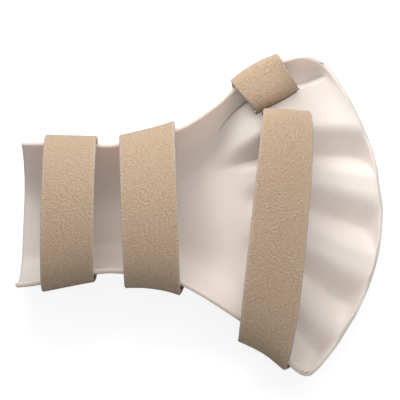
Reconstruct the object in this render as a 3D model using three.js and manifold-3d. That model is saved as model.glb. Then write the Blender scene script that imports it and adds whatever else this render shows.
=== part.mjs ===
// Anti-spasticity hand splint for a right hand: one moulded plastic shell with a forearm trough,
// a fan-shaped hand pan with finger separators, and four fabric straps held by hook patches.
// Millimetres. +X runs from the forearm end to the finger end, +Y to the thumb side and +Z up, out
// of the open side. The origin is the middle of the flat underside of the forearm trough.

import * as THREE from 'three';
import { mergeVertices } from 'three/addons/utils/BufferGeometryUtils.js';
import Module from 'manifold-3d';

// Shell
const sheetThickness = 3.2;
const forearmLength = 104;    // proximal edge to wrist crease
const handLength = 152;       // wrist crease to distal rim
const troughHalfWidth = 50;
const thumbReach = 115.5;     // trough axis to the outermost point of the thumb rim
const littleReach = 114.3;    // trough axis to the corner beyond the little finger
const wallHeight = 38;        // rim height beside the forearm
const panRimHeight = 16;      // rim height beyond the fingertips
const wallRun = 34;           // plan width in which the trough wall climbs
const rimLean = 10;           // degrees that a wall leans out from upright at its rim
const browLean = 35;          // the same at the brow between the web ridge and the thumb trough
const palmRise = 16;          // height of the palm arch over the table
const ridgeRise = 13;         // height of the ridges between the long fingers
const littleRidgeRise = 12;   // height of the ridge beside the little finger
const webRise = 16;           // height of the ridge between thumb and index finger
const palmPeak = 0.434;       // top of the palm arch, as a share of the hand length from the wrist
const palmEnd = 0.789;        // where the arch has come down again

// Straps
const strapWidth = 38;
const strapThickness = 2.5;
const hookThickness = 1.4;
const hookInset = 2;          // hook patch edge inside the strap edge
const fitGap = 0.45;          // between pieces that lie on each other
const slotClearance = 0.8;    // strap to slot wall
const forearmCrown = 24;      // how far a strap arches over the rims
const palmCrown = 22;
const thumbCrown = 6.6;
const looseSlack = 9;         // how far the loosest strap edge stands off its rim
const palmTail = 22;          // strap beyond the little finger's rim, folded under the shell
const palmSlotTail = 5;       // strap beyond a slot, folded under the shell
const thumbSlotTail = 6;
const foldStops = [1, 0.66, 0.33];   // shares of a folded end, from its tip
const lipTurns = [0.9, 0.55, 0.2];   // shares of the turn round a slot's lower lip

// Rim tables. along: share of the forearm length (below 0) or hand length (above 0) from the
// wrist crease. flare: share of the way from the trough's half width to the full reach. across:
// share of the reach. lift: 0 at the pan rim height, 1 at the wall height. run: share of wallRun.
const thumbRim = [
  { at: 'proximal end', along: -0.98, flare: -0.01, lift: 1.0, run: 1.0 },
  { at: 'mid forearm', along: -0.46, flare: -0.035, lift: 1.0, run: 1.0 },
  { at: 'wrist waist', along: -0.29, flare: -0.015, lift: 1.0, run: 1.0 },
  { at: 'wrist', along: 0.04, flare: 0.14, lift: 1.02, run: 0.95 },
  { at: 'thumb root', along: 0.19, flare: 0.35, lift: 1.09, run: 0.8 },
  { at: 'thumb joint', along: 0.303, flare: 0.577, lift: 1.18, run: 0.52 },
  { at: 'thumb strap', along: 0.414, flare: 0.779, lift: 1.18, run: 0.44 },
  { at: 'thumb strap end', along: 0.546, flare: 0.931, lift: 1.09, run: 0.42 },
  { at: 'thumb tip', along: 0.645, flare: 1.0, lift: 0.86, run: 0.42 },
  { at: 'thumb corner', along: 0.73, flare: 0.97, lift: 0.5, run: 0.62 },
];
const littleRim = [
  { at: 'proximal end', along: -0.99, flare: 0.103, lift: 1.0, run: 1.0 },
  { at: 'strap', along: -0.83, flare: 0.07, lift: 1.0, run: 1.0 },
  { at: 'mid forearm', along: -0.464, flare: -0.045, lift: 1.0, run: 1.0 },
  { at: 'wrist waist', along: -0.29, flare: -0.051, lift: 1.0, run: 1.0 },
  { at: 'wrist', along: -0.096, flare: -0.019, lift: 1.0, run: 1.0 },
  { at: 'heel of hand', along: 0.066, flare: 0.075, lift: 0.91, run: 1.15 },
  { at: 'palm edge', along: 0.227, flare: 0.283, lift: 0.68, run: 1.35 },
  { at: 'little joint', along: 0.43, flare: 0.605, lift: 0.36, run: 1.15 },
  { at: 'little finger', along: 0.559, flare: 0.91, lift: 0.16, run: 0.7 },
  { at: 'little corner', along: 0.628, flare: 1.0, lift: 0.02, run: 0.48 },
];
const distalRim = [
  { at: 'little corner end', along: 0.671, across: -0.971, lift: 0.06, run: 0.48 },
  { at: 'little side', along: 0.722, across: -0.897, lift: 0.07, run: 0.48 },
  { at: 'ring little', along: 0.793, across: -0.77, lift: 0.045, run: 0.43 },
  { at: 'ring', along: 0.865, across: -0.611, lift: 0.0, run: 0.38 },
  { at: 'middle ring', along: 0.928, across: -0.435, lift: 0.0, run: 0.38 },
  { at: 'middle low', along: 0.972, across: -0.257, lift: 0.0, run: 0.38 },
  { at: 'middle', along: 1.0, across: 0.02, lift: 0.0, run: 0.38 },
  { at: 'middle high', along: 0.989, across: 0.234, lift: 0.0, run: 0.38 },
  { at: 'index low', along: 0.969, across: 0.396, lift: 0.045, run: 0.38 },
  { at: 'index', along: 0.934, across: 0.543, lift: 0.09, run: 0.38 },
  { at: 'web low', along: 0.888, across: 0.687, lift: 0.16, run: 0.5 },
  { at: 'web high', along: 0.829, across: 0.831, lift: 0.27, run: 0.8 },
  { at: 'thumb corner end', along: 0.783, across: 0.921, lift: 0.38, run: 0.8 },
];

// Finger lines across the pan, from the little finger to the thumb. palm, rim: places across, 0 at
// the little finger's rim and 1 at the thumb's. turn: where the line leaves its palm place, faster
// and faster, if it doesn't fan out from fanStart. A trough has no height. start, full: where a
// ridge begins to rise and is at its height, as shares of the shell's length. level: shares of the
// ways from its middle to the troughs before and after it that are level; rimLevel: the same at the
// rim, if they change. The ridges are smooth waves, but the web ridge ends in a brow over the thumb
// trough, which lies higher than the others: foot and rimFoot are its height, in the palm and at the
// rim, as shares of the ridge's.
const fingerLines = [
  { at: 'little trough', palm: 0.12, rim: 0.085 },
  {
    at: 'ring little ridge', palm: 0.21, rim: 0.175,
    height: littleRidgeRise, level: [0.1, 0.1], start: 0.66, full: 0.84,
  },
  { at: 'ring trough', palm: 0.31, rim: 0.26 },
  {
    at: 'middle ring ridge', palm: 0.415, rim: 0.37,
    height: ridgeRise, level: [0.2, 0.2], start: 0.64, full: 0.82,
  },
  { at: 'middle trough', palm: 0.53, rim: 0.485 },
  {
    at: 'index middle ridge', palm: 0.625, rim: 0.6,
    height: ridgeRise, level: [0.2, 0.2], start: 0.63, full: 0.81,
  },
  { at: 'index trough', palm: 0.7, rim: 0.7 },
  {
    at: 'web ridge', palm: 0.84, rim: 0.87, turn: 0.85,
    height: webRise, start: 0.57, full: 0.72,
    level: [0.43, 0.65], rimLevel: [0.5, 0.82], foot: 0.45, rimFoot: 0.85,
  },
  { at: 'thumb trough', palm: 0.937, rim: 0.985, turn: 0.85 },
];
const fanStart = 0.64;        // where the finger lines leave their palm places
const bowStart = 0.35;        // where the cross lines begin to bow towards the fingertips
const bowEase = 1.6;          // above 1, they bow sooner
const handStart = 0.45;       // the wrist crease, as a share of the shell's length

// Where each strap meets the shell. along, across: the middle of the strap at a rim or slot.
// spread: the crossing's length as a share of the strap's width. lean: change of across per
// change of along, for a slot that lies askew. slack: shares of looseSlack at the strap's two
// edges. bend: how far a slot's ends lie towards the thumb from its middle, as across. from, to:
// degrees round the wall that the strap's end covers. tail: shares of the folded
// end's length at the two edges. rise: sheet thicknesses that the strap rises straight up out of its
// slot. room: the slot's length beyond the strap's two edges, in slotClearance. squareness above 2
// gives an arch a flatter top and steeper sides. bow: sideways curve of the strap's two edges
// towards the fingertips, as shares of its width.
const forearmStraps = [
  {
    name: 'forearm_strap',
    little: { along: 0.16, spread: 0.96, slack: [0, 0], from: 30, to: 66 },
    thumb: { along: 0.1485, spread: 0.96, slack: [0, 0], from: 30, to: 66 },
  },
  {
    name: 'wrist_strap',
    little: { along: 0.432, spread: 1.075, slack: [0.6, 0.2], from: 30, to: 66 },
    thumb: { along: 0.3815, spread: 1.07, slack: [0, 0], from: 30, to: 66 },
  },
];
const palmStrap = {
  slot: {
    along: 0.795, across: 0.814, lean: -0.29, bend: 0.006, spread: 0.86,
    tail: [1, 0.3], rise: 3, room: [1, 4.5],
  },
  rim: { along: 0.836, spread: 1.16, slack: [1, 0] },
  stops: [1, 0.92, 0.78, 0.64, 0.5, 0.36, 0.18, 0.06, 0],   // shares of palmTail, tip to rim
  patchEnd: 0.36,             // where its hook patch stops, in the same shares
  squareness: 2.4,
  bow: [0, 0.165],
};
const thumbStrap = {
  slot: {
    along: 0.788, across: 0.873, lean: 0.3, bend: 0.01, spread: 0.96,
    tail: [0.08, 1], rise: 2, room: [1, 1],
  },
  rim: { along: 0.768, spread: 1.02, slack: [0, 0], from: 46, to: 70 },
  squareness: 2.6,
  bow: [-0.08, -0.04],
};
const patchStart = 0.12;      // hook patch's lower edge, as a share of the strap's end

// How finely the faces are cut
const wallSteps = 5;
const endSteps = 5;
const middleSteps = 32;
const forearmSteps = 9;
const handSteps = 22;
const strapLines = 6;
const strapEndSteps = 4;
const riseSteps = 3;
const archSteps = 18;
const thumbArchSteps = 12;
const railSteps = 300;

const degrees = Math.PI / 180;
const up = new THREE.Vector3(0, 0, 1);
const wristX = forearmLength / 2;
const { lerp, clamp, smoothstep } = THREE.MathUtils;
const spread = (count) => Array.from({ length: count + 1 }, (_, i) => i / count);

// A rim row as a point in space, with the plan width of the wall below it.
const alongX = (share) => wristX + share * (share < 0 ? forearmLength : handLength);
const rimHeight = (lift) => lerp(panRimHeight, wallHeight, lift);
function sidePoint(row, side, reach) {
  const y = troughHalfWidth + row.flare * (reach - troughHalfWidth);
  return new THREE.Vector3(alongX(row.along), side * y, rimHeight(row.lift));
}
function distalPoint(row) {
  const reach = row.across < 0 ? littleReach : thumbReach;
  return new THREE.Vector3(alongX(row.along), row.across * reach, rimHeight(row.lift));
}

// The whole rim is one smooth curve from the little finger's side round to the thumb's.
const rimRows = [
  ...littleRim.map((row) => ({ ...row, point: sidePoint(row, -1, littleReach) })),
  ...distalRim.map((row) => ({ ...row, point: distalPoint(row) })),
  ...thumbRim.map((row) => ({ ...row, point: sidePoint(row, 1, thumbReach) })).reverse(),
];
const rimCurve = new THREE.CatmullRomCurve3(rimRows.map((row) => row.point), false, 'catmullrom', 0.5);
const runCurve = new THREE.CatmullRomCurve3(
  rimRows.map((row) => new THREE.Vector3(row.run * wallRun, 0, 0)), false, 'catmullrom', 0.5);

// A rail is a stretch of the rim between two of its rows, read by its share of length.
function makeRail(first, last) {
  const places = spread(railSteps).map((share) => lerp(first, last, share) / (rimRows.length - 1));
  const points = places.map((place) => rimCurve.getPoint(place));
  const lengths = [0];
  for (let k = 0; k < railSteps; k++) lengths.push(lengths[k] + points[k].distanceTo(points[k + 1]));
  const length = lengths[railSteps];
  const read = (share) => {
    const wanted = clamp(share, 0, 1) * length;
    const next = Math.max(1, lengths.findIndex((reached) => reached >= wanted));
    const part = (wanted - lengths[next - 1]) / (lengths[next] - lengths[next - 1]);
    const place = lerp(places[next - 1], places[next], part);
    return { point: rimCurve.getPoint(place), run: runCurve.getPoint(place).x };
  };
  return { read, length, start: points[0], end: points[railSteps] };
}
const littleRail = makeRail(0, littleRim.length - 1);
const distalRail = makeRail(littleRim.length - 1, littleRim.length + distalRim.length);
const thumbRail = makeRail(rimRows.length - 1, littleRim.length + distalRim.length);
const shellLength = (thumbRail.length + littleRail.length) / 2;
const widthAt = (along) => littleRail.read(along).point.distanceTo(thumbRail.read(along).point);

// How far a wall has climbed at a distance from its rim: a quarter oval that leans out at the top.
const steepest = (90 - rimLean) * degrees;
function climbed(distance, run, slope = steepest) {
  if (distance >= run) return 0;
  const angle = Math.asin((1 - distance / run) * Math.sin(slope));
  return (1 - Math.cos(angle)) / (1 - Math.cos(slope));
}
const distanceAt = (angle, run) => run * (1 - Math.sin(angle) / Math.sin(steepest));

// Height of the palm arch at a distance past the wrist crease.
function archHeight(x) {
  const past = (x - wristX) / handLength;
  if (past <= 0 || past >= palmEnd) return 0;
  const share = past < palmPeak ? past / palmPeak : (palmEnd - past) / (palmEnd - palmPeak);
  return palmRise * 0.5 * (1 - Math.cos(Math.PI * share));
}

// Height of the finger ridges over the floor.
const webRidge = fingerLines.at(-2);
const thumbTrough = fingerLines.at(-1);
function lineFan(row, along) {
  if (!row.turn) return smoothstep(along, fanStart, 1);
  return clamp((along - row.turn) / (1 - row.turn), 0, 1) ** 2;
}
const linePlace = (row, along) => lerp(row.palm, row.rim, lineFan(row, along));
function levelPart(row, along, side) {
  return lerp(row.level[side], (row.rimLevel ?? row.level)[side], lineFan(row, along));
}
function browPlace(along) {
  const level = levelPart(webRidge, along, 1);
  return lerp(linePlace(webRidge, along), linePlace(thumbTrough, along), level);
}
function ridgeHeight(along, across) {
  const places = fingerLines.map((row) => linePlace(row, along));
  const next = places.findIndex((place) => place > across);
  if (next === 0) return 0;
  const ridge = fingerLines.find((row, k) => row.height > 0 && (k === next || k === next - 1)) ?? webRidge;
  const middle = linePlace(ridge, along);
  const onRise = across < middle;
  const trough = onRise ? places[next - 1] : places.at(next);
  const level = levelPart(ridge, along, onRise ? 0 : 1);
  const rise = clamp((across - trough) / (middle - trough) / (1 - level), 0, 1);
  const overThumb = ridge === webRidge && !onRise;
  const foot = lerp(webRidge.foot, webRidge.rimFoot, lineFan(webRidge, along));
  const climb = overThumb
    ? lerp(foot, 1, climbed(1 - rise, 1, (90 - browLean) * degrees))
    : 0.5 * (1 - Math.cos(Math.PI * rise));
  return ridge.height * climb * smoothstep(along, ridge.start, ridge.full);
}

// The shell's outer surface. along: 0 at the proximal edge, 1 at the distal rim.
// across: 0 at the little finger's rim, 1 at the thumb's.
function shellPoint(along, across) {
  const little = littleRail.read(along);
  const thumb = thumbRail.read(along);
  const distal = distalRail.read(across);
  const chord = littleRail.end.clone().lerp(thumbRail.end, across);
  const bow = Math.max(0, (along - bowStart) / (1 - bowStart));
  const point = little.point.clone().lerp(thumb.point, across);
  const width = little.point.distanceTo(thumb.point);
  point.addScaledVector(distal.point.clone().sub(chord), bow ** 2 * lerp(bowEase, 1, bow));
  const floor = archHeight(point.x);
  const onThumbSide = across > 0.5;
  const side = onThumbSide ? thumb : little;
  const corner = onThumbSide ? thumbRail.end : littleRail.end;
  const sideClimb = climbed((onThumbSide ? 1 - across : across) * width, side.run);
  const endClimb = climbed((1 - along) * shellLength, distal.run);
  const wall = (side.point.z - floor) * sideClimb + (distal.point.z - floor) * endClimb
    - (corner.z - floor) * sideClimb * endClimb;
  point.z = floor + wall + ridgeHeight(along, across) * (1 - sideClimb) * (1 - endClimb);
  return point;
}

// A point held off the outer surface, below or outside the shell.
function outsidePoint(along, across, offset) {
  const step = 0.002;
  const a = clamp(along, step, 1 - step);
  const c = clamp(across, step, 1 - step);
  const alongSlope = shellPoint(a + step, c).sub(shellPoint(a - step, c));
  const acrossSlope = shellPoint(a, c + step).sub(shellPoint(a, c - step));
  const inward = alongSlope.cross(acrossSlope).normalize();
  return shellPoint(along, across).addScaledVector(inward, -offset);
}

// A closed sheet of even thickness from a grid of points. side -1, 0 or 1 puts the grid on the
// sheet's lower face, middle or upper face.
function sheetFrom(grid, thickness, side = 0) {
  const rows = grid.length;
  const columns = grid[0].length;
  const normals = grid.map((row) => row.map(() => new THREE.Vector3()));
  for (let i = 0; i + 1 < rows; i++) {
    for (let j = 0; j + 1 < columns; j++) {
      const across = grid[i + 1][j + 1].clone().sub(grid[i][j]);
      const back = grid[i][j + 1].clone().sub(grid[i + 1][j]);
      const face = across.cross(back);
      for (const [a, b] of [[i, j], [i + 1, j], [i, j + 1], [i + 1, j + 1]]) normals[a][b].add(face);
    }
  }
  const positions = [];
  for (const level of [-0.5 - side / 2, 0.5 - side / 2]) {
    grid.forEach((row, i) => row.forEach((point, j) => {
      const placed = point.clone().addScaledVector(normals[i][j].normalize(), level * thickness);
      positions.push(placed.x, placed.y, placed.z);
    }));
  }
  const top = rows * columns;
  const at = (i, j) => i * columns + j;
  const index = [];
  for (let i = 0; i + 1 < rows; i++) {
    for (let j = 0; j + 1 < columns; j++) {
      const [a, b, c, d] = [at(i, j), at(i + 1, j), at(i + 1, j + 1), at(i, j + 1)];
      index.push(a, c, b, a, d, c);
      index.push(top + a, top + b, top + c, top + a, top + c, top + d);
    }
  }
  const edge = [];
  for (let i = 0; i + 1 < rows; i++) edge.push(at(i, 0));
  for (let j = 0; j + 1 < columns; j++) edge.push(at(rows - 1, j));
  for (let i = rows - 1; i > 0; i--) edge.push(at(i, columns - 1));
  for (let j = columns - 1; j > 0; j--) edge.push(at(0, j));
  edge.forEach((a, k) => {
    const b = edge[(k + 1) % edge.length];
    index.push(a, b, top + b, a, top + b, top + a);
  });
  const geometry = new THREE.BufferGeometry();
  geometry.setAttribute('position', new THREE.Float32BufferAttribute(positions, 3));
  geometry.setIndex(index);
  return geometry;
}

// Boolean cuts
const solids = await Module();
solids.setup();
function solidFrom(geometry) {
  const bare = geometry.clone();
  bare.deleteAttribute('normal');
  bare.deleteAttribute('uv');
  const merged = mergeVertices(bare, 1e-4);
  const mesh = new solids.Mesh({
    numProp: 3,
    vertProperties: merged.attributes.position.array,
    triVerts: new Uint32Array(merged.index.array),
  });
  return new solids.Manifold(mesh);
}
function geometryFrom(solid) {
  const mesh = solid.getMesh();
  const geometry = new THREE.BufferGeometry();
  geometry.setAttribute('position', new THREE.Float32BufferAttribute(mesh.vertProperties, 3));
  geometry.setIndex([...mesh.triVerts]);
  return geometry;
}

// The shell's grid has close-set lines on the walls, one along the brow and even ones between.
function shellGrid() {
  const endRun = distalRail.read(0.5).run;
  const endStart = 1 - endRun / shellLength;
  const alongs = [
    ...spread(forearmSteps).map((share) => share * handStart),
    ...spread(handSteps).slice(1).map((share) => lerp(handStart, endStart, share)),
    ...spread(endSteps).slice(1).map((share) => 1 - distanceAt(steepest * share, endRun) / shellLength),
  ];
  const climb = spread(wallSteps).map((share) => distanceAt(steepest * (1 - share), 1));
  return alongs.map((along) => {
    const width = widthAt(along);
    const littleWall = climb.map((share) => share * littleRail.read(along).run / width);
    const thumbWall = climb.map((share) => 1 - share * thumbRail.read(along).run / width).reverse();
    const lastGap = (thumbWall[0] - littleWall.at(-1)) / middleSteps;
    const brow = Math.min(browPlace(along), thumbWall[0] - lastGap);
    const middle = spread(middleSteps - 1).slice(1).map((share) => lerp(littleWall.at(-1), brow, share));
    return [...littleWall, ...middle, ...thumbWall].map((across) => shellPoint(along, across));
  });
}

// A seat reads one line of a strap (share 0 to 1 across its width) at a distance from its rim or
// slot, and gives the place on the shell.
const lineOf = (end, share, length) => end.along + (share - 0.5) * end.spread * strapWidth / length;
function rimSeat(end, rail) {
  return (share, distance) => {
    const along = lineOf(end, share, rail.length);
    const across = distance / widthAt(along);
    return { along, across: rail === littleRail ? across : 1 - across };
  };
}
function slotSeat(slot) {
  const probe = 0.01;
  const middle = shellPoint(slot.along, slot.across);
  const beside = shellPoint(slot.along + probe, slot.across + slot.lean * probe);
  const slotLength = Math.hypot(beside.x - middle.x, beside.y - middle.y) / probe;
  return (share, distance) => {
    const along = lineOf(slot, share, slotLength);
    const across = slot.across + (along - slot.along) * slot.lean + slot.bend * (2 * share - 1) ** 2;
    return { along, across: across - distance / widthAt(along) };
  };
}
const offShell = (place, offset) => outsidePoint(place.along, place.across, offset);

// Distances from the rim down a wall, from the strap's tip up to the rim.
function wallStops(end, rail) {
  const run = rail.read(end.along).run;
  const angles = spread(strapEndSteps).map((share) => lerp(end.from, end.to, share) * degrees);
  return [...angles.map((angle) => distanceAt(angle, run)), 0];
}

// A strap's end on a wall, from its tip up the outside to the rim, over its hook patch.
const strapSeat = fitGap * 2 + hookThickness + strapThickness / 2;
function wallEnd(end, seat, stops, share) {
  const slack = looseSlack * lerp(end.slack[0], end.slack[1], share);
  return stops.map((distance) => {
    const point = offShell(seat(share, distance), strapSeat);
    point.y += Math.sign(point.y) * slack * (1 - distance / stops[0]) ** 3;
    return point;
  });
}

// A strap's end in a slot, from its folded tip round the slot's lower lip and up.
function slotEnd(slot, seat, tailLength, share) {
  const middle = offShell(seat(share, 0), 0);
  const reach = strapThickness / 2 + slotClearance;
  const tail = tailLength * lerp(slot.tail[0], slot.tail[1], share);
  const lip = offShell(seat(share, reach), 0);
  const outward = offShell(seat(share, reach), 1).sub(lip);
  const level = middle.clone().sub(lip).setZ(0).normalize();
  const folded = foldStops.map((part) =>
    offShell(seat(share, reach + part * tail), fitGap + strapThickness / 2));
  const around = lipTurns.map((part) =>
    lip.clone().addScaledVector(level.clone().lerp(outward, part).normalize(), reach));
  const above = spread(riseSteps).map((part) =>
    middle.clone().addScaledVector(up, part * slot.rise * sheetThickness));
  return [...folded, ...around, ...above];
}

// The arched stretch between two ends.
function archBetween(from, to, crown, squareness, steps, bow) {
  const centre = from.clone().lerp(to, 0.5);
  return spread(steps).slice(1, -1).map((share) => {
    const angle = Math.PI * share;
    const side = Math.sign(Math.cos(angle)) * Math.abs(Math.cos(angle)) ** (2 / squareness);
    const point = from.clone().sub(centre).multiplyScalar(side).add(centre);
    point.x += bow * strapWidth * Math.sin(angle);
    point.z += crown * Math.sin(angle) ** (2 / squareness);
    return point;
  });
}
function strapFrom(pathAt) {
  const lines = spread(strapLines).map(pathAt);
  return sheetFrom(lines[0].map((_, i) => lines.map((line) => line[i])), strapThickness);
}

// A hook patch lies under a strap's end, from near its tip to a chosen stop.
function patchFrom(seat, tip, last) {
  const inset = hookInset / strapWidth;
  const stops = spread(strapEndSteps).map((share) => lerp(tip, last, lerp(patchStart, 1, share)));
  return sheetFrom(stops.map((distance) => spread(strapLines).map((share) =>
    offShell(seat(lerp(inset, 1 - inset, share), distance), fitGap + hookThickness / 2))), hookThickness);
}

// A slot's cutter is the strap's upright stretch, longer and thicker by the clearance.
function slotCutter(slot, seat) {
  const [before, beyond] = slot.room.map((part) => part * slotClearance / strapWidth);
  const reach = slot.rise * sheetThickness;
  const grid = spread(strapLines).map((part) => {
    const middle = offShell(seat(lerp(-before, 1 + beyond, part), 0), 0);
    return [-reach, reach].map((height) => middle.clone().addScaledVector(up, height));
  });
  return solidFrom(sheetFrom(grid, strapThickness + 2 * slotClearance));
}

const plastic = new THREE.MeshStandardMaterial({ color: 0xf0e6df, roughness: 0.42 });
const fabric = new THREE.MeshStandardMaterial({ color: 0xbfa688, roughness: 0.95 });
const hook = new THREE.MeshStandardMaterial({ color: 0x3a3c3e, roughness: 0.85 });

const splint = new THREE.Group();
function addPiece(name, geometry, material) {
  const mesh = new THREE.Mesh(geometry, material);
  mesh.name = name;
  splint.add(mesh);
}

for (const strap of forearmStraps) {
  const littleSeat = rimSeat(strap.little, littleRail);
  const thumbSeat = rimSeat(strap.thumb, thumbRail);
  const littleStops = wallStops(strap.little, littleRail);
  const thumbStops = wallStops(strap.thumb, thumbRail);
  addPiece(strap.name, strapFrom((share) => {
    const little = wallEnd(strap.little, littleSeat, littleStops, share);
    const thumb = wallEnd(strap.thumb, thumbSeat, thumbStops, share);
    const arch = archBetween(little.at(-1), thumb.at(-1), forearmCrown, 2, archSteps, 0);
    return [...little, ...arch, ...thumb.reverse()];
  }), fabric);
  addPiece(`${strap.name}_hook_little`, patchFrom(littleSeat, littleStops[0], littleStops.at(-2)), hook);
  addPiece(`${strap.name}_hook_thumb`, patchFrom(thumbSeat, thumbStops[0], thumbStops.at(-2)), hook);
}

const palmSlot = slotSeat(palmStrap.slot);
const palmRim = rimSeat(palmStrap.rim, littleRail);
const palmStops = palmStrap.stops.map((share) => share * palmTail);
addPiece('palm_strap', strapFrom((share) => {
  const rim = wallEnd(palmStrap.rim, palmRim, palmStops, share);
  const slot = slotEnd(palmStrap.slot, palmSlot, palmSlotTail, share);
  const { squareness, bow } = palmStrap;
  const sideways = lerp(bow[0], bow[1], share);
  const arch = archBetween(rim.at(-1), slot.at(-1), palmCrown, squareness, archSteps, sideways);
  return [...rim, ...arch, ...slot.reverse()];
}), fabric);
addPiece('palm_strap_hook', patchFrom(palmRim, palmTail, palmStrap.patchEnd * palmTail), hook);

const thumbSlot = slotSeat(thumbStrap.slot);
const thumbSide = rimSeat(thumbStrap.rim, thumbRail);
const thumbStops = wallStops(thumbStrap.rim, thumbRail);
addPiece('thumb_strap', strapFrom((share) => {
  const slot = slotEnd(thumbStrap.slot, thumbSlot, thumbSlotTail, share);
  const wall = wallEnd(thumbStrap.rim, thumbSide, thumbStops, share);
  const { squareness, bow } = thumbStrap;
  const sideways = lerp(bow[0], bow[1], share);
  const arch = archBetween(slot.at(-1), wall.at(-1), thumbCrown, squareness, thumbArchSteps, sideways);
  return [...slot, ...arch, ...wall.reverse()];
}), fabric);
addPiece('thumb_strap_hook', patchFrom(thumbSide, thumbStops[0], thumbStops.at(-2)), hook);

const shell = solidFrom(sheetFrom(shellGrid(), sheetThickness, -1))
  .subtract(slotCutter(palmStrap.slot, palmSlot))
  .subtract(slotCutter(thumbStrap.slot, thumbSlot));
addPiece('splint_shell', geometryFrom(shell), plastic);

export default splint;
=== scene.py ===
# Anti-spasticity hand splint: a moulded plastic shell with finger separators, and four brushed
# straps that close over hook tape. Lengths in the dictionaries are millimetres.
import math
import bmesh
import bpy
import numpy as np
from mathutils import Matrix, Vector


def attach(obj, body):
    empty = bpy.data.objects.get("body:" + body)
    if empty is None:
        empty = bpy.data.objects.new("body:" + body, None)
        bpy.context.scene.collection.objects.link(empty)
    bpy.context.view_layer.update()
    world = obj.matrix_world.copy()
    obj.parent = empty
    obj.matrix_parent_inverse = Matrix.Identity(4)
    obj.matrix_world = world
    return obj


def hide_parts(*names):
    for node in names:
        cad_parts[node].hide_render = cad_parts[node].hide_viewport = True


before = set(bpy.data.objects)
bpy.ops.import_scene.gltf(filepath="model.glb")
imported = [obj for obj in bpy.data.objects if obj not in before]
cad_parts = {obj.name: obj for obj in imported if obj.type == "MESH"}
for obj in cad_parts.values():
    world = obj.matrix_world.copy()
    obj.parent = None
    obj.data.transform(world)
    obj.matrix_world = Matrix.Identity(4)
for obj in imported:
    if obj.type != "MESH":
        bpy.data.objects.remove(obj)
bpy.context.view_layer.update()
mm = 0.001
print("frame loaded:", len(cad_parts), "nodes")


# Node trees: one class for a tree and one for a socket that takes part in arithmetic
class Wave:
    def __init__(self, tree, socket):
        self.tree = tree
        self.socket = socket

    def __add__(self, other):
        return self.tree.math("ADD", self, other)

    def __sub__(self, other):
        return self.tree.math("SUBTRACT", self, other)

    def __mul__(self, other):
        return self.tree.math("MULTIPLY", self, other)

    def __truediv__(self, other):
        return self.tree.math("DIVIDE", self, other)

    def __pow__(self, other):
        return self.tree.math("POWER", self, other)

    def __rsub__(self, other):
        return self.tree.math("SUBTRACT", other, self)

    def __rtruediv__(self, other):
        return self.tree.math("DIVIDE", other, self)

    __radd__ = __add__
    __rmul__ = __mul__


class Tree:
    def __init__(self, nodeTree):
        self.nodeTree = nodeTree

    # settings come first, because some of them change which sockets a node has
    def make(self, kind, settings=None, inputs=None, output=0):
        node = self.nodeTree.nodes.new(kind)
        for name, value in (settings or {}).items():
            setattr(node, name, value)
        for name, value in (inputs or {}).items():
            self.feed(node.inputs[name], value)
        return Wave(self, node.outputs[output]) if node.outputs else None

    def feed(self, socket, value):
        if isinstance(value, Wave):
            self.nodeTree.links.new(value.socket, socket)
        else:
            socket.default_value = value

    def math(self, operation, first, second=0.0):
        return self.make("ShaderNodeMath", {"operation": operation}, {0: first, 1: second})

    def smooth(self, value, low, high):
        inputs = {"Value": value, "From Min": low, "From Max": high}
        return self.make("ShaderNodeMapRange", {"interpolation_type": "SMOOTHSTEP"}, inputs)

    def mixColour(self, factor, first, second):
        settings = {"data_type": "RGBA", "blend_type": "MIX"}
        return self.make("ShaderNodeMix", settings, {0: factor, 6: first, 7: second}, 2)


# The shell's surface, from its rim and finger lines
shellSize = {
    "sheet": 3.2,
    "cutRadius": 0.8,
    "forearmLength": 104,
    "handLength": 152,
    "troughHalfWidth": 50,
    "thumbReach": 115.5,
    "littleReach": 114.3,
    "wallHeight": 38,
    "panRimHeight": 16,
    "wallRun": 34,
    "rimLean": 10,
    "browLean": 35,
    "thumbFoot": 0.45,
    "cornerFoot": 0.85,
    "palmRise": 16,
    "ridgeRise": 13,
    "littleRidgeRise": 12,
    "webRise": 16,
    "palmPeak": 0.434,
    "palmEnd": 0.789,
    "fanStart": 0.64,
    "turnStart": 0.85,
    "bowStart": 0.35,
    "bowEase": 1.6,
}
wristX = shellSize["forearmLength"] / 2

# columns: along, flare, lift, run
littleRim = [
    (-0.99, 0.103, 1.0, 1.0),
    (-0.83, 0.07, 1.0, 1.0),
    (-0.464, -0.045, 1.0, 1.0),
    (-0.29, -0.051, 1.0, 1.0),
    (-0.096, -0.019, 1.0, 1.0),
    (0.066, 0.075, 0.91, 1.15),
    (0.227, 0.283, 0.68, 1.35),
    (0.43, 0.605, 0.36, 1.15),
    (0.559, 0.91, 0.16, 0.7),
    (0.628, 1.0, 0.02, 0.48),
]
# columns: along, across as a share of the reach, lift, run
distalRim = [
    (0.671, -0.971, 0.06, 0.48),
    (0.722, -0.897, 0.07, 0.48),
    (0.793, -0.77, 0.045, 0.43),
    (0.865, -0.611, 0.0, 0.38),
    (0.928, -0.435, 0.0, 0.38),
    (0.972, -0.257, 0.0, 0.38),
    (1.0, 0.02, 0.0, 0.38),
    (0.989, 0.234, 0.0, 0.38),
    (0.969, 0.396, 0.045, 0.38),
    (0.934, 0.543, 0.09, 0.38),
    (0.888, 0.687, 0.16, 0.5),
    (0.829, 0.831, 0.27, 0.8),
    (0.783, 0.921, 0.38, 0.8),
]
# columns: along, flare, lift, run
thumbRim = [
    (-0.98, -0.01, 1.0, 1.0),
    (-0.46, -0.035, 1.0, 1.0),
    (-0.29, -0.015, 1.0, 1.0),
    (0.04, 0.14, 1.02, 0.95),
    (0.19, 0.35, 1.09, 0.8),
    (0.303, 0.577, 1.18, 0.52),
    (0.414, 0.779, 1.18, 0.44),
    (0.546, 0.931, 1.09, 0.42),
    (0.645, 1.0, 0.86, 0.42),
    (0.73, 0.97, 0.5, 0.62),
]
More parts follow.
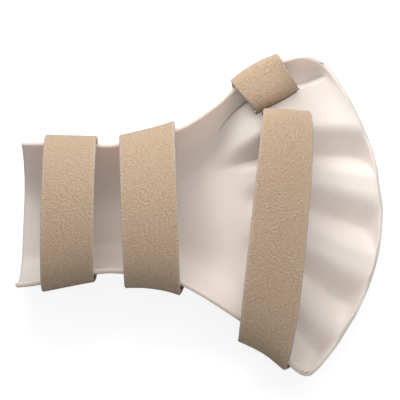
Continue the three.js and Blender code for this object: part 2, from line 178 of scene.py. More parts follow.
# the lines of the troughs between the fingers. columns: palm place, rim place
troughLines = [(0.12, 0.085), (0.31, 0.26), (0.53, 0.485), (0.7, 0.7), (0.937, 0.985)]
# the ridges between them. columns: palm place, rim place, height, level part before and after,
# the same at the rim, where the ridge starts and where it is full
ridgeLines = [
    (0.21, 0.175, shellSize["littleRidgeRise"], (0.1, 0.1), (0.1, 0.1), 0.66, 0.84),
    (0.415, 0.37, shellSize["ridgeRise"], (0.2, 0.2), (0.2, 0.2), 0.64, 0.82),
    (0.625, 0.6, shellSize["ridgeRise"], (0.2, 0.2), (0.2, 0.2), 0.63, 0.81),
    (0.84, 0.87, shellSize["webRise"], (0.43, 0.65), (0.5, 0.82), 0.57, 0.72),
]


def lerp(a, b, share):
    return a + (b - a) * share


def smoothstep(x, low, high):
    share = np.clip((x - low) / (high - low), 0, 1)
    return share * share * (3 - 2 * share)


def rimHeight(lift):
    return lerp(shellSize["panRimHeight"], shellSize["wallHeight"], lift)


def alongX(share):
    stretch = shellSize["forearmLength"] if share < 0 else shellSize["handLength"]
    return wristX + share * stretch


def sideRim(rows, side, reach):
    half = shellSize["troughHalfWidth"]
    return [
        (alongX(along), side * lerp(half, reach, flare), rimHeight(lift), run)
        for along, flare, lift, run in rows
    ]


def endRim(rows):
    reach = {True: shellSize["littleReach"], False: shellSize["thumbReach"]}
    return [
        (alongX(along), across * reach[across < 0], rimHeight(lift), run)
        for along, across, lift, run in rows
    ]


# The whole rim is one smooth curve from the little finger's side round to the thumb's.
rimRows = np.array(
    sideRim(littleRim, -1, shellSize["littleReach"])
    + endRim(distalRim)
    + sideRim(thumbRim, 1, shellSize["thumbReach"])[::-1]
)
rimRows[:, 3] *= shellSize["wallRun"]
rimPadded = np.vstack([2 * rimRows[0] - rimRows[1], rimRows, 2 * rimRows[-1] - rimRows[-2]])


def readRim(place):
    index = np.clip(np.floor(place).astype(int), 0, len(rimRows) - 2)
    t = (place - index)[..., None]
    a, b, c, d = (rimPadded[index + k] for k in range(4))
    return b + 0.5 * t * (c - a + t * (2 * a - 5 * b + 4 * c - d + t * (3 * (b - c) + d - a)))


class Rail:
    def __init__(self, first, last, steps=300):
        self.places = np.linspace(first, last, steps + 1)
        points = readRim(self.places)[:, :3]
        self.reached = np.append(0, np.cumsum(np.linalg.norm(np.diff(points, axis=0), axis=1)))
        self.length = self.reached[-1]
        self.end = points[-1]

    def read(self, share):
        place = np.interp(np.clip(share, 0, 1) * self.length, self.reached, self.places)
        row = readRim(place)
        return row[..., :3], row[..., 3]


lastLittle = len(littleRim) - 1
firstThumb = len(littleRim) + len(distalRim)
littleRail = Rail(0, lastLittle)
distalRail = Rail(lastLittle, firstThumb)
thumbRail = Rail(len(rimRows) - 1, firstThumb)
shellLength = (littleRail.length + thumbRail.length) / 2
steepest = math.radians(90 - shellSize["rimLean"])


def widthAt(along):
    return np.linalg.norm(littleRail.read(along)[0] - thumbRail.read(along)[0], axis=-1)


# How far a wall has climbed at a distance from its rim: a quarter oval that leans out at the top
def climbed(distance, run, slope=steepest):
    angle = np.arcsin(np.clip(1 - distance / run, 0, 1) * math.sin(slope))
    return (1 - np.cos(angle)) / (1 - math.cos(slope))


def distanceAt(degrees, run):
    return run * (1 - np.sin(np.radians(degrees)) / math.sin(steepest))


def archHeight(x):
    past = (x - wristX) / shellSize["handLength"]
    peak, end = shellSize["palmPeak"], shellSize["palmEnd"]
    share = np.clip(np.minimum(past / peak, (end - past) / (end - peak)), 0, 1)
    return shellSize["palmRise"] * 0.5 * (1 - np.cos(np.pi * share))


# A wave between each trough and ridge, but the web ridge has a brow over the thumb trough, which
# lies higher than the others.
def ridgeHeight(along, across):
    # the finger lines fan out, but the thumb trough and its brow turn late to the corner
    fan = smoothstep(along, shellSize["fanStart"], 1)
    turn = np.clip((along - shellSize["turnStart"]) / (1 - shellSize["turnStart"]), 0, 1) ** 2
    last = len(ridgeLines) - 1
    troughs = [lerp(palm, rim, turn if k > last else fan) for k, (palm, rim) in enumerate(troughLines)]
    browSlope = math.radians(90 - shellSize["browLean"])
    total = np.zeros_like(along)
    for k, (palm, rim, height, level, rimLevel, start, full) in enumerate(ridgeLines):
        spread = turn if k == last else fan
        levelBefore, levelAfter = (lerp(level[side], rimLevel[side], spread) for side in (0, 1))
        middle = lerp(palm, rim, spread)
        rising = np.clip((across - troughs[k]) / (middle - troughs[k]) / (1 - levelBefore), 0, 1)
        past = (troughs[k + 1] - across) / (troughs[k + 1] - middle)
        falling = np.clip(past / (1 - levelAfter), 0, 1)
        before = 0.5 * (1 - np.cos(np.pi * rising))
        after = 0.5 * (1 - np.cos(np.pi * falling))
        if k == last:
            foot = lerp(shellSize["thumbFoot"], shellSize["cornerFoot"], turn)
            after = lerp(foot, 1, climbed(1 - falling, 1, browSlope))
        total += height * np.where(across < middle, before, after) * smoothstep(along, start, full)
    return total


# The shell's outer surface. along runs from the forearm edge to the finger rim, across from the
# little finger's rim to the thumb's, both from 0 to 1.
def shellPoint(along, across):
    along, across = np.broadcast_arrays(np.asarray(along, float), np.asarray(across, float))
    little, littleRun = littleRail.read(along)
    thumb, thumbRun = thumbRail.read(along)
    distal, distalRun = distalRail.read(across)
    share = across[..., None]
    bow = np.clip((along - shellSize["bowStart"]) / (1 - shellSize["bowStart"]), 0, None)
    ease = (bow**2 * lerp(shellSize["bowEase"], 1, bow))[..., None]
    point = lerp(little, thumb, share) + (distal - lerp(littleRail.end, thumbRail.end, share)) * ease
    width = np.linalg.norm(thumb - little, axis=-1)
    floor = archHeight(point[..., 0])
    onThumb = across > 0.5
    sideRise = np.where(onThumb, thumb[..., 2], little[..., 2]) - floor
    cornerRise = np.where(onThumb, thumbRail.end[2], littleRail.end[2]) - floor
    endRise = distal[..., 2] - floor
    toSide = np.where(onThumb, 1 - across, across) * width
    sideClimb = climbed(toSide, np.where(onThumb, thumbRun, littleRun))
    endClimb = climbed((1 - along) * shellLength, distalRun)
    wall = sideRise * sideClimb + endRise * endClimb - cornerRise * sideClimb * endClimb
    point[..., 2] = floor + wall + ridgeHeight(along, across) * (1 - sideClimb) * (1 - endClimb)
    return point


# A point held off the outer surface, below or outside the shell
def outsidePoint(along, across, offset):
    step = 0.002
    a = np.clip(along, step, 1 - step)
    c = np.clip(across, step, 1 - step)
    forward = shellPoint(a + step, c) - shellPoint(a - step, c)
    sideways = shellPoint(a, c + step) - shellPoint(a, c - step)
    normal = np.cross(forward, sideways)
    normal /= np.linalg.norm(normal, axis=-1, keepdims=True)
    return shellPoint(along, across) - normal * offset


# Sheets: a grid on the middle of the sheet, thickened to round edges by geometry nodes
def edgeSpaced(length, step, radius, turns=4):
    bend = radius * (1 - np.cos(np.linspace(0, np.pi / 2, turns + 1)))
    count = max(2, round((length - 2 * radius) / step))
    middle = np.linspace(radius, length - radius, count + 1)[1:-1]
    return np.concatenate([bend, middle, length - bend[::-1]])


def gridNormals(grid):
    down = np.gradient(grid, axis=0)
    over = np.gradient(grid, axis=1)
    normal = np.cross(down, over)
    return normal / np.maximum(np.linalg.norm(normal, axis=-1, keepdims=True), 1e-9)


def addObject(name, data):
    added = bpy.data.objects.new(name, data)
    bpy.context.scene.collection.objects.link(added)
    return added


# edge is each point's distance from the sheet's edge, place its place on the flat strap
def meshFromGrid(name, grid, edge, place=None):
    rows, columns = grid.shape[:2]
    index = np.arange(rows * columns).reshape(rows, columns)
    quads = np.stack([index[:-1, :-1], index[1:, :-1], index[1:, 1:], index[:-1, 1:]], axis=-1)
    mesh = bpy.data.meshes.new(name)
    mesh.from_pydata((grid.reshape(-1, 3) * mm).tolist(), [], quads.reshape(-1, 4).tolist())
    mesh.attributes.new("edgeDistance", "FLOAT", "POINT").data.foreach_set("value", (edge * mm).ravel())
    if place is not None:
        layer = mesh.attributes.new("strapPlace", "FLOAT_VECTOR", "POINT")
        layer.data.foreach_set("vector", (place * mm).ravel())
    return addObject(name, mesh)


sheetInputs = {
    "Geometry": "NodeSocketGeometry",
    "Thickness": "NodeSocketFloat",
    "Edge Radius": "NodeSocketFloat",
    "Material": "NodeSocketMaterial",
}
weldGap = 0.002


def sheetNodes():
    group = bpy.data.node_groups.new("thickenSheet", "GeometryNodeTree")
    for name, kind in sheetInputs.items():
        group.interface.new_socket(name, in_out="INPUT", socket_type=kind)
    group.interface.new_socket("Geometry", in_out="OUTPUT", socket_type="NodeSocketGeometry")
    tree = Tree(group)
    entry = group.nodes.new("NodeGroupInput")
    given = {socket.name: Wave(tree, socket) for socket in entry.outputs if socket.name}
    edge = tree.make("GeometryNodeInputNamedAttribute", {"data_type": "FLOAT"}, {"Name": "edgeDistance"})
    inset = tree.math("MINIMUM", edge / given["Edge Radius"], 1.0)
    height = given["Thickness"] * 0.5 * tree.math("SQRT", 1 - (1 - inset) ** 2)
    normal = tree.make("GeometryNodeInputNormal")
    faces = []
    for side in (1, -1):
        offset = tree.make(
            "ShaderNodeVectorMath", {"operation": "SCALE"}, {0: normal, "Scale": height * side}
        )
        moved = tree.make(
            "GeometryNodeSetPosition", None, {"Geometry": given["Geometry"], "Offset": offset}
        )
        faces.append(moved if side > 0 else tree.make("GeometryNodeFlipFaces", None, {"Mesh": moved}))
    joined = group.nodes.new("GeometryNodeJoinGeometry")
    for face in faces:
        group.links.new(face.socket, joined.inputs[0])
    both = Wave(tree, joined.outputs[0])
    welded = tree.make(
        "GeometryNodeMergeByDistance", None, {"Geometry": both, "Distance": weldGap * mm}
    )
    realized = tree.make("GeometryNodeRealizeInstances", None, {"Geometry": welded})
    finished = tree.make(
        "GeometryNodeSetMaterial", None, {"Geometry": realized, "Material": given["Material"]}
    )
    leave = group.nodes.new("NodeGroupOutput")
    group.links.new(finished.socket, leave.inputs[0])
    return group


# Keeps what a piece's modifiers make of it as its plain mesh.
def keepResult(piece):
    bpy.context.view_layer.update()
    evaluated = piece.evaluated_get(bpy.context.evaluated_depsgraph_get())
    result = bpy.data.meshes.new_from_object(evaluated)
    piece.modifiers.clear()
    piece.data = result
    result.name = piece.name


def thicken(piece, thickness, edgeRadius, material):
    modifier = piece.modifiers.new(thickenSheet.name, "NODES")
    modifier.node_group = thickenSheet
    names = {item.name: item.identifier for item in thickenSheet.interface.items_tree}
    modifier[names["Thickness"]] = thickness * mm
    modifier[names["Edge Radius"]] = edgeRadius * mm
    modifier[names["Material"]] = material
    keepResult(piece)


# Materials
plasticLook = {
    "light": (0.81, 0.73, 0.685, 1),
    "deep": (0.78, 0.69, 0.64, 1),
    # rim: a darker, warmer colour for the band along the cut edge. It is partly a sanded edge and partly
    # painted shade of the cut face.
    "rim": (0.72, 0.63, 0.57, 1),
    "rimWidth": 2.2,
    "rimSandAndShadeShare": 0.7,
    "cloud": 70,
    "cloudRange": (0.3, 0.7),
    "scuff": 5,
    "roughness": 0.4,
    "scuffRoughness": 0.12,
    "rimRoughness": 0.15,
    "swell": 14,
    "pore": 0.8,
    "poreHeight": 0.06,
    "bump": 0.25,
    "bumpStrength": 0.6,
    "ior": 1.49,
    "translucency": 0.6,
    "bleed": (0.007, 0.005, 0.004),
}
strapLook = {
    "light": (0.585, 0.432, 0.308, 1),
    "deep": (0.445, 0.318, 0.216, 1),
    "edge": (0.56, 0.465, 0.38, 1),
    "edgeStart": 0.1,
    "edgeWidth": 2.4,
    "edgeShare": 0.7,
    "grain": 0.7,
    "grainTone": 0.55,
    "grainHeight": 0.6,
    "tuft": 1.7,
    "tuftTone": 0.45,
    "toneRange": (0.32, 0.68),
    "bump": 1.5,
    "roughness": 0.93,
    "sheen": 0.2,
    "specular": 0.2,
}
hookLook = {
    "light": (0.075, 0.08, 0.085, 1),
    "deep": (0.02, 0.022, 0.024, 1),
    "pitch": 1.2,
    "dotRange": (0.15, 0.5),
    "bump": 0.4,
    "roughness": 0.8,
}


def newMaterial(name):
    material = bpy.data.materials.new(name)
    material.use_nodes = True
    tree = Tree(material.node_tree)
    shader = material.node_tree.nodes["Principled BSDF"]
    return material, tree, shader


def objectPlace(tree):
    return tree.make("ShaderNodeTexCoord", output="Object")


def noise(tree, place, size, detail):
    return tree.make(
        "ShaderNodeTexNoise", None, {"Vector": place, "Scale": 1 / (size * mm), "Detail": detail}
    )


def attribute(tree, name, output):
    return tree.make("ShaderNodeAttribute", {"attribute_name": name}, output=output)


def bumpFrom(tree, height, distance, strength=1.0):
    return tree.make(
        "ShaderNodeBump", None, {"Height": height, "Distance": distance * mm, "Strength": strength}
    )


def plasticMaterial():
    material, tree, shader = newMaterial("shellPlastic")
    place = objectPlace(tree)
    cloud = noise(tree, place, plasticLook["cloud"], detail=3)
    cloud = tree.smooth(cloud, *plasticLook["cloudRange"])
    colour = tree.mixColour(cloud, plasticLook["light"], plasticLook["deep"])
    # The band along the cut edge is rougher where it is sanded. Its darker colour is partly the sanded
    # edge and partly painted shade of the cut face.
    fromEdge = attribute(tree, "edgeDistance", "Fac")
    rim = 1 - tree.smooth(fromEdge, 0, plasticLook["rimWidth"] * mm)
    colour = tree.mixColour(rim * plasticLook["rimSandAndShadeShare"], colour, plasticLook["rim"])
    scuff = noise(tree, place, plasticLook["scuff"], detail=4) * plasticLook["scuffRoughness"]
    tree.feed(shader.inputs["Base Color"], colour)
    roughness = plasticLook["roughness"] + scuff + rim * plasticLook["rimRoughness"]
    tree.feed(shader.inputs["Roughness"], roughness)
    pores = noise(tree, place, plasticLook["pore"], detail=2) * plasticLook["poreHeight"]
    height = noise(tree, place, plasticLook["swell"], detail=1) + pores
    bump = bumpFrom(tree, height, plasticLook["bump"], plasticLook["bumpStrength"])
    tree.feed(shader.inputs["Normal"], bump)
    shader.inputs["IOR"].default_value = plasticLook["ior"]
    shader.inputs["Subsurface Weight"].default_value = plasticLook["translucency"]
    shader.inputs["Subsurface Radius"].default_value = plasticLook["bleed"]
    shader.inputs["Subsurface Scale"].default_value = 1
    return material


def strapMaterial():
    material, tree, shader = newMaterial("strapFabric")
    place = attribute(tree, "strapPlace", "Vector")
    grain = noise(tree, place, strapLook["grain"], detail=2)
    tuft = noise(tree, place, strapLook["tuft"], detail=3)
    tone = tree.smooth(
        grain * strapLook["grainTone"] + tuft * strapLook["tuftTone"], *strapLook["toneRange"]
    )
    colour = tree.mixColour(tone, strapLook["deep"], strapLook["light"])
    fromEdge = attribute(tree, "edgeDistance", "Fac")
    edge = 1 - tree.smooth(fromEdge, strapLook["edgeStart"] * mm, strapLook["edgeWidth"] * mm)
    colour = tree.mixColour(edge * strapLook["edgeShare"], colour, strapLook["edge"])
    tree.feed(shader.inputs["Base Color"], colour)
    nap = grain * strapLook["grainHeight"] + tuft
    tree.feed(shader.inputs["Normal"], bumpFrom(tree, nap, strapLook["bump"]))
    shader.inputs["Roughness"].default_value = strapLook["roughness"]
    shader.inputs["Sheen Weight"].default_value = strapLook["sheen"]
    shader.inputs["Specular IOR Level"].default_value = strapLook["specular"]
    return material


def hookMaterial():
    material, tree, shader = newMaterial("hookTape")
    place = objectPlace(tree)
    scale = 1 / (hookLook["pitch"] * mm)
    cells = tree.make("ShaderNodeTexVoronoi", {"feature": "F1"}, {"Vector": place, "Scale": scale})
    dot = 1 - tree.smooth(cells, *hookLook["dotRange"])
    tree.feed(shader.inputs["Base Color"], tree.mixColour(dot, hookLook["deep"], hookLook["light"]))
    tree.feed(shader.inputs["Normal"], bumpFrom(tree, dot, hookLook["bump"]))
    shader.inputs["Roughness"].default_value = hookLook["roughness"]
    return material


plastic = plasticMaterial()
strapFabric = strapMaterial()
hookTape = hookMaterial()
thickenSheet = sheetNodes()
print("materials made")

# Straps
strapSize = {
    "width": 38,
    "thickness": 2.5,
    "hookThickness": 1.4,
    "hookEdgeRadius": 0.3,
    "hookInset": 2,
    "fitGap": 0.45,
    "slotClearance": 0.8,
    "forearmCrown": 24,
    "palmCrown": 22,
    "thumbCrown": 6.6,
    "looseSlack": 9,
    "slackEase": 3,
    "palmTail": 22,
    "palmSlotTail": 5,
    "thumbSlotTail": 6,
    "riseSteps": 3,
    "foldStops": (1, 0.66, 0.33),
    "lipTurns": (0.9, 0.55, 0.2),
    "patchStart": 0.12,
    "patchRows": 33,
    "patchColumns": 41,
    "cutterSteps": 25,
    "endSteps": 4,
    "step": 1.7,
    "edgeRadius": 1.0,
}
upward = np.array([0, 0, 1.0])


# A seat reads a line of a strap (share 0 to 1 across its width) at a distance from its rim or
# slot, and gives the place on the shell.
def lineOf(end, share, length):
    return end["along"] + (share - 0.5) * end["spread"] * strapSize["width"] / length


def rimSeat(end, rail):
    def seat(share, distance):
        along = lineOf(end, share, rail.length)
        across = distance / widthAt(along)
        return along, across if rail is littleRail else 1 - across

    return seat


def slotSeat(slot):
    probe = 0.01
    first = shellPoint(slot["along"], slot["across"])
    second = shellPoint(slot["along"] + probe, slot["across"] + probe * slot["lean"])
    slotLength = np.linalg.norm((second - first)[:2]) / probe

    def seat(share, distance):
        along = lineOf(slot, share, slotLength)
        across = slot["across"] + (along - slot["along"]) * slot["lean"]
        bent = across + slot["bend"] * (2 * share - 1) ** 2
        return along, bent - distance / widthAt(along)

    return seat


def wallStops(end, rail):
    run = rail.read(np.array(end["along"]))[1]
    angles = np.linspace(end["from"], end["to"], strapSize["endSteps"] + 1)
    return [*distanceAt(angles, run), 0.0]


# A strap's end on a wall, from its tip up the outside to the rim, over its hook patch
def wallEnd(end, seat, stops, share):
    offset = strapSize["fitGap"] * 2 + strapSize["hookThickness"] + strapSize["thickness"] / 2
    slack = strapSize["looseSlack"] * lerp(*end["slack"], share)
    ease = strapSize["slackEase"]
    points = []
    for distance in stops:
        point = outsidePoint(*seat(share, distance), offset)
        point[:, 1] += np.sign(point[:, 1]) * slack * (1 - distance / stops[0]) ** ease
        points.append(point)
    return points


# A strap's end in a slot, from its folded tip round the slot's lower lip and up
def slotEnd(slot, seat, tailLength, share):
    sheet, half = shellSize["sheet"], strapSize["thickness"] / 2
    reach = half + strapSize["slotClearance"]
    middle = outsidePoint(*seat(share, 0), 0)
    tail = tailLength * lerp(*slot["tail"], share)
    lip = outsidePoint(*seat(share, reach), 0)
    outward = outsidePoint(*seat(share, reach), 1) - lip
    level = (middle - lip) * (1, 1, 0)
    level /= np.linalg.norm(level, axis=-1, keepdims=True)
    folded = [
        outsidePoint(*seat(share, reach + part * tail), strapSize["fitGap"] + half)
        for part in strapSize["foldStops"]
    ]
    around = []
    for part in strapSize["lipTurns"]:
        turned = lerp(level, outward, part)
        around.append(lip + turned / np.linalg.norm(turned, axis=-1, keepdims=True) * reach)
    parts = np.linspace(0, 1, strapSize["riseSteps"] + 1)
    above = [middle + upward * part * slot["rise"] * sheet for part in parts]
    return [*folded, *around, *above]


# The arch between a strap's two ends, at a share of the way across the strap
def archBetween(start, end, crown, strap, share):
    centre = (start + end) / 2
    ahead = np.zeros_like(centre)
    ahead[:, 0] = lerp(*strap["bow"], share) * strapSize["width"]
    power = 2 / strap["squareness"]
    points = []
    for angle in np.linspace(0, np.pi, strap["archSteps"] + 1)[1:-1]:
        side = math.copysign(abs(math.cos(angle)) ** power, math.cos(angle))
        lift = crown * math.sin(angle) ** power
        points.append(centre + (start - centre) * side + ahead * math.sin(angle) + upward * lift)
    return points


# Resamples key points (lines, keys, xyz) along smooth curves. Returns the points and how far
# along each row lies.
def smoothPath(keys, step, radius):
    chord = np.linalg.norm(np.diff(keys, axis=1), axis=-1).mean(axis=0)
    reached = np.append(0, np.cumsum(chord))
    slope = np.gradient(keys, reached, axis=1)
    wanted = edgeSpaced(reached[-1], step, radius)
    index = np.clip(np.searchsorted(reached, wanted, "right") - 1, 0, len(chord) - 1)
    t = ((wanted - reached[index]) / chord[index])[None, :, None]
    span = chord[index][None, :, None]
    start, end = keys[:, index], keys[:, index + 1]
    a, b = slope[:, index] * span, slope[:, index + 1] * span
    bend = 2 * start - 2 * end + a + b
    points = start + t * (a + t * (3 * (end - start) - 2 * a - b + t * bend))
    return points, wanted


def finishPiece(piece, node):
    for polygon in piece.data.polygons:
        polygon.use_smooth = True
    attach(piece, "root")
    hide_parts(node)


def strapPiece(name, pathAt):
    acrossPlaces = edgeSpaced(strapSize["width"], strapSize["step"], strapSize["edgeRadius"])
    keys = np.stack(pathAt(acrossPlaces / strapSize["width"]), axis=1)
    grid, alongPlaces = smoothPath(keys, strapSize["step"], strapSize["edgeRadius"])
    across, along = np.meshgrid(acrossPlaces, alongPlaces, indexing="ij")
    edge = np.minimum(
        np.minimum(across, strapSize["width"] - across), np.minimum(along, alongPlaces[-1] - along)
    )
    place = np.stack([along, across, np.zeros_like(along)], axis=-1)
    piece = meshFromGrid(name, grid, edge, place)
    thicken(piece, strapSize["thickness"], strapSize["edgeRadius"], strapFabric)
    finishPiece(piece, name)


# A hook patch lies under a strap's end, from near its tip to a chosen stop.
def patchPiece(name, seat, tip, last):
    inset = strapSize["hookInset"] / strapSize["width"]
    parts = np.linspace(0, 1, strapSize["patchRows"])
    stops = lerp(tip, last, lerp(strapSize["patchStart"], 1, parts))
    shares = np.linspace(inset, 1 - inset, strapSize["patchColumns"])
    share, distance = np.meshgrid(shares, stops, indexing="ij")
    grid = outsidePoint(*seat(share, distance), strapSize["fitGap"] + strapSize["hookThickness"] / 2)
    across = (share - inset) * strapSize["width"]
    along = np.abs(distance - tip) - abs(stops[0] - tip)
    edge = np.minimum(
        np.minimum(across, across.max() - across), np.minimum(along, along.max() - along)
    )
    piece = meshFromGrid(name, grid, edge)
    thicken(piece, strapSize["hookThickness"], strapSize["hookEdgeRadius"], hookTape)
    finishPiece(piece, name)


forearmArch = {"squareness": 2, "bow": (0, 0), "archSteps": 18}
forearmStraps = {
    "forearm_strap": {
        "little": {"along": 0.16, "spread": 0.96, "slack": (0, 0), "from": 30, "to": 66},
        "thumb": {"along": 0.1485, "spread": 0.96, "slack": (0, 0), "from": 30, "to": 66},
    },
    "wrist_strap": {
        "little": {"along": 0.432, "spread": 1.075, "slack": (0.6, 0.2), "from": 30, "to": 66},
        "thumb": {"along": 0.3815, "spread": 1.07, "slack": (0, 0), "from": 30, "to": 66},
    },
}
palmStrap = {
    "slot": {
        "along": 0.795,
        "across": 0.814,
        "lean": -0.29,
        "bend": 0.006,
        "spread": 0.86,
        "tail": (1, 0.3),
        "rise": 3,
        "room": (1, 4.5),
    },
    "rim": {"along": 0.836, "spread": 1.16, "slack": (1, 0)},
    "stops": (1, 0.92, 0.78, 0.64, 0.5, 0.36, 0.18, 0.06, 0),
    "patchEnd": 0.36,
    "squareness": 2.4,
    "bow": (0, 0.165),
    "archSteps": 18,
}
thumbStrap = {
    "slot": {
        "along": 0.788,
        "across": 0.873,
        "lean": 0.3,
        "bend": 0.01,
        "spread": 0.96,
        "tail": (0.08, 1),
        "rise": 2,
        "room": (1, 1),
    },
    "rim": {"along": 0.768, "spread": 1.02, "slack": (0, 0), "from": 46, "to": 70},
    "squareness": 2.6,
    "bow": (-0.08, -0.04),
    "archSteps": 12,
}


def makeForearmStrap(name, strap):
    littleSeat = rimSeat(strap["little"], littleRail)
    thumbSeat = rimSeat(strap["thumb"], thumbRail)
    littleStops = wallStops(strap["little"], littleRail)
    thumbStops = wallStops(strap["thumb"], thumbRail)

    def pathAt(share):
        little = wallEnd(strap["little"], littleSeat, littleStops, share)
        thumb = wallEnd(strap["thumb"], thumbSeat, thumbStops, share)
        arch = archBetween(little[-1], thumb[-1], strapSize["forearmCrown"], forearmArch, share)
        return [*little, *arch, *thumb[::-1]]

    strapPiece(name, pathAt)
    patchPiece(name + "_hook_little", littleSeat, littleStops[0], littleStops[-2])
    patchPiece(name + "_hook_thumb", thumbSeat, thumbStops[0], thumbStops[-2])


def makePalmStrap():
    seat = rimSeat(palmStrap["rim"], littleRail)
    stops = [part * strapSize["palmTail"] for part in palmStrap["stops"]]

    def pathAt(share):
        rim = wallEnd(palmStrap["rim"], seat, stops, share)
        slot = slotEnd(palmStrap["slot"], palmSlot, strapSize["palmSlotTail"], share)
        arch = archBetween(rim[-1], slot[-1], strapSize["palmCrown"], palmStrap, share)
        return [*rim, *arch, *slot[::-1]]

    strapPiece("palm_strap", pathAt)
    patchPiece("palm_strap_hook", seat, stops[0], palmStrap["patchEnd"] * strapSize["palmTail"])


def makeThumbStrap():
    seat = rimSeat(thumbStrap["rim"], thumbRail)
    stops = wallStops(thumbStrap["rim"], thumbRail)

    def pathAt(share):
        slot = slotEnd(thumbStrap["slot"], thumbSlot, strapSize["thumbSlotTail"], share)
        wall = wallEnd(thumbStrap["rim"], seat, stops, share)
        arch = archBetween(slot[-1], wall[-1], strapSize["thumbCrown"], thumbStrap, share)
        return [*slot, *arch, *wall[::-1]]

    strapPiece("thumb_strap", pathAt)
    patchPiece("thumb_strap_hook", seat, stops[0], stops[-2])


palmSlot = slotSeat(palmStrap["slot"])
thumbSlot = slotSeat(thumbStrap["slot"])
for strapName, strap in forearmStraps.items():
    makeForearmStrap(strapName, strap)
makePalmStrap()
makeThumbStrap()
print("straps and hook patches made")


# The shell, with its two slots cut. Its grid has rows along the rails and columns across, and
# columnPlaces says where columnShares of them lie: they stand closer in the thumb trough.
shellGrid = {
    "rowStep": 1.5,
    "columns": 175,
    "meanWidth": 230,
    "columnShares": (0, 0.02, 0.7, 1),
    "columnPlaces": (0, 0.02, 0.84, 1),
    "rimBatch": 64,
    "creaseAngle": 50,
}


def slotCutter(slot, seat):
    clearance = strapSize["slotClearance"]
    before, beyond = (part * clearance / strapSize["width"] for part in slot["room"])
    share = np.linspace(-before, 1 + beyond, strapSize["cutterSteps"])
    middle = outsidePoint(*seat(share, 0), 0)
    reach = upward * slot["rise"] * shellSize["sheet"]
    tangent = np.gradient(middle, axis=0) * (1, 1, 0)
    aside = np.cross(upward, tangent)
    aside *= (strapSize["thickness"] / 2 + clearance) / np.linalg.norm(aside, axis=-1, keepdims=True)
    corners = [middle + aside * x + reach * z for x, z in ((1, -1), (-1, -1), (-1, 1), (1, 1))]
    cutter = bmesh.new()
    rings = [[cutter.verts.new(corner[k] * mm) for corner in corners] for k in range(len(share))]
    for first, second in zip(rings, rings[1:]):
        for k in range(len(corners)):
            after = (k + 1) % len(corners)
            cutter.faces.new((first[k], first[after], second[after], second[k]))
    cutter.faces.new(rings[0][::-1])
    cutter.faces.new(rings[-1])
    bmesh.ops.recalc_face_normals(cutter, faces=cutter.faces)
    mesh = bpy.data.meshes.new("slotCutter")
    cutter.to_mesh(mesh)
    cutter.free()
    return addObject("slotCutter", mesh)


def cutOut(piece, cutter):
    modifier = piece.modifiers.new("slot", "BOOLEAN")
    modifier.operation = "DIFFERENCE"
    modifier.solver = "EXACT"
    modifier.object = cutter
    keepResult(piece)
    bpy.data.objects.remove(cutter)


# Each grid point's distance from the nearest point of the rim, with the rim taken in batches
def distanceToRim(grid, rim):
    flat = grid.reshape(-1, 3)
    nearest = np.full(len(flat), np.inf)
    for start in range(0, len(rim), shellGrid["rimBatch"]):
        batch = rim[None, start : start + shellGrid["rimBatch"]]
        gap = np.linalg.norm(flat[:, None] - batch, axis=-1)
        nearest = np.minimum(nearest, gap.min(axis=1))
    return nearest.reshape(grid.shape[:2])


def makeShell():
    half = shellSize["sheet"] / 2
    cut = shellSize["cutRadius"]
    alongs = edgeSpaced(shellLength, shellGrid["rowStep"], cut) / shellLength
    shares = edgeSpaced(1, 1 / shellGrid["columns"], cut / shellGrid["meanWidth"])
    acrosses = np.interp(shares, shellGrid["columnShares"], shellGrid["columnPlaces"])
    along, across = np.meshgrid(alongs, acrosses, indexing="ij")
    outer = shellPoint(along, across)
    middle = outer + gridNormals(outer) * half
    rim = np.concatenate([middle[0], middle[:, -1], middle[-1, ::-1], middle[::-1, 0]])
    edge = distanceToRim(middle, rim)
    edge[0] = edge[-1] = edge[:, 0] = edge[:, -1] = 0
    piece = meshFromGrid("splint_shell_moulded", middle, edge)
    thicken(piece, shellSize["sheet"], cut, plastic)
    cutOut(piece, slotCutter(palmStrap["slot"], palmSlot))
    cutOut(piece, slotCutter(thumbStrap["slot"], thumbSlot))
    finishPiece(piece, "splint_shell")
    piece.data.set_sharp_from_angle(angle=math.radians(shellGrid["creaseAngle"]))


makeShell()
print("shell made")

# Studio: pale floor, three soft lamps, a soft sky, and a camera looking down on the splint
studio = {
    "target": (75, 10, 25),
    "distance": 1300,
    "tilt": 18,
    "focalPixels": 1857,
    "imageWidth": 400,
    "sensorWidth": 36,
    "clipEnd": 20000,
    "floorSize": 6000,
    "floorGap": 0.1,
    "lampSize": 400,
    "lampAim": (90, 40, 20),
    "lampColour": (1, 0.985, 0.97),
    "softboxDirection": (0, -1, 1),
    "softbox": (1.28, 1.28, 1.28, 1),
    "sky": (0.24, 0.24, 0.24, 1),
    "ground": (0.07, 0.085, 0.1, 1),
    "groundRange": (-0.3, 0.05),
    "softboxSharpness": 6,
    "floorColour": (0.35, 0.35, 0.35, 1),
    "floorRoughness": 0.9,
    "floorGlow": 0.8,
    "glowColour": (1, 1, 1, 1),
    "shadeColour": (0.05, 0.05, 0.05, 1),
    "shadePlace": (135, 78, 0),
    "shadeRadius": 48,
}


def makeCamera():
    data = bpy.data.cameras.new("camera")
    data.sensor_width = studio["sensorWidth"]
    data.lens = studio["focalPixels"] * studio["sensorWidth"] / studio["imageWidth"]
    data.clip_end = studio["clipEnd"] * mm
    camera = addObject("camera", data)
    tilt = math.radians(studio["tilt"])
    away = Vector((0, -math.sin(tilt), math.cos(tilt))) * studio["distance"]
    camera.location = (Vector(studio["target"]) + away) * mm
    camera.rotation_euler = (tilt, 0, 0)
    bpy.context.scene.camera = camera


# The lamps stand close, so they are hidden from the camera. columns: lamp, place, power
lamps = [
    ("key", (40, 380, 300), 2.1),
    ("wristSide", (-180, 480, 450), 1.3),
    ("fingerSide", (420, 220, 420), 0.85),
]


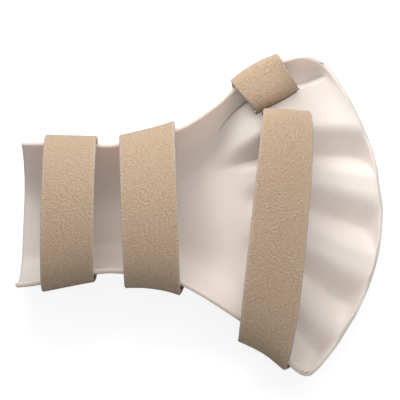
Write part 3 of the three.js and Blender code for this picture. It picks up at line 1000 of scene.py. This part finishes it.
def makeLamp(name, place, power):
    data = bpy.data.lights.new(name, "AREA")
    data.energy = power
    data.size = studio["lampSize"] * mm
    data.color = studio["lampColour"]
    lamp = addObject(name, data)
    lamp.location = Vector(place) * mm
    aim = Vector(studio["lampAim"]) - Vector(place)
    lamp.rotation_euler = aim.to_track_quat("-Z", "Y").to_euler()
    lamp.visible_camera = False


# The floor glows for the camera alone, and fades to shade under the shell's two slots.
def makeFloor():
    half = studio["floorSize"] / 2 * mm
    mesh = bpy.data.meshes.new("floor")
    below = -studio["floorGap"] * mm
    corners = [(x * half, y * half, below) for x, y in ((-1, -1), (1, -1), (1, 1), (-1, 1))]
    mesh.from_pydata(corners, [], [(0, 1, 2, 3)])
    floor = addObject("floor", mesh)
    material, tree, shader = newMaterial("floorPaper")
    shader.inputs["Base Color"].default_value = studio["floorColour"]
    shader.inputs["Roughness"].default_value = studio["floorRoughness"]
    away = tree.make(
        "ShaderNodeVectorMath",
        {"operation": "DISTANCE"},
        {0: objectPlace(tree), 1: Vector(studio["shadePlace"]) * mm},
        "Value",
    )
    glow = tree.smooth(away, 0, studio["shadeRadius"] * mm)
    colour = tree.mixColour(glow, studio["shadeColour"], studio["glowColour"])
    tree.feed(shader.inputs["Emission Color"], colour)
    shader.inputs["Emission Strength"].default_value = studio["floorGlow"]
    mesh.materials.append(material)
    floor.visible_diffuse = False
    floor.visible_glossy = False


# The sky is even and dark below the horizon, with one large softbox that fills in from the little
# finger's side.
def makeSky():
    world = bpy.data.worlds.new("studioSky")
    world.use_nodes = True
    tree = Tree(world.node_tree)
    direction = tree.make("ShaderNodeTexCoord", output="Generated")
    facing = tree.make(
        "ShaderNodeVectorMath",
        {"operation": "DOT_PRODUCT"},
        {0: direction, 1: Vector(studio["softboxDirection"]).normalized()},
        "Value",
    )
    lobe = tree.math("MAXIMUM", facing, 0.0) ** studio["softboxSharpness"]
    height = tree.make("ShaderNodeSeparateXYZ", None, {"Vector": direction}, "Z")
    above = tree.smooth(height, *studio["groundRange"])
    colour = tree.mixColour(above, studio["ground"], studio["sky"])
    colour = tree.mixColour(lobe, colour, studio["softbox"])
    background = world.node_tree.nodes["Background"]
    tree.feed(background.inputs["Color"], colour)
    bpy.context.scene.world = world


makeCamera()
for lamp in lamps:
    makeLamp(*lamp)
makeFloor()
makeSky()
bpy.context.scene.view_settings.view_transform = "Standard"
print("studio made")
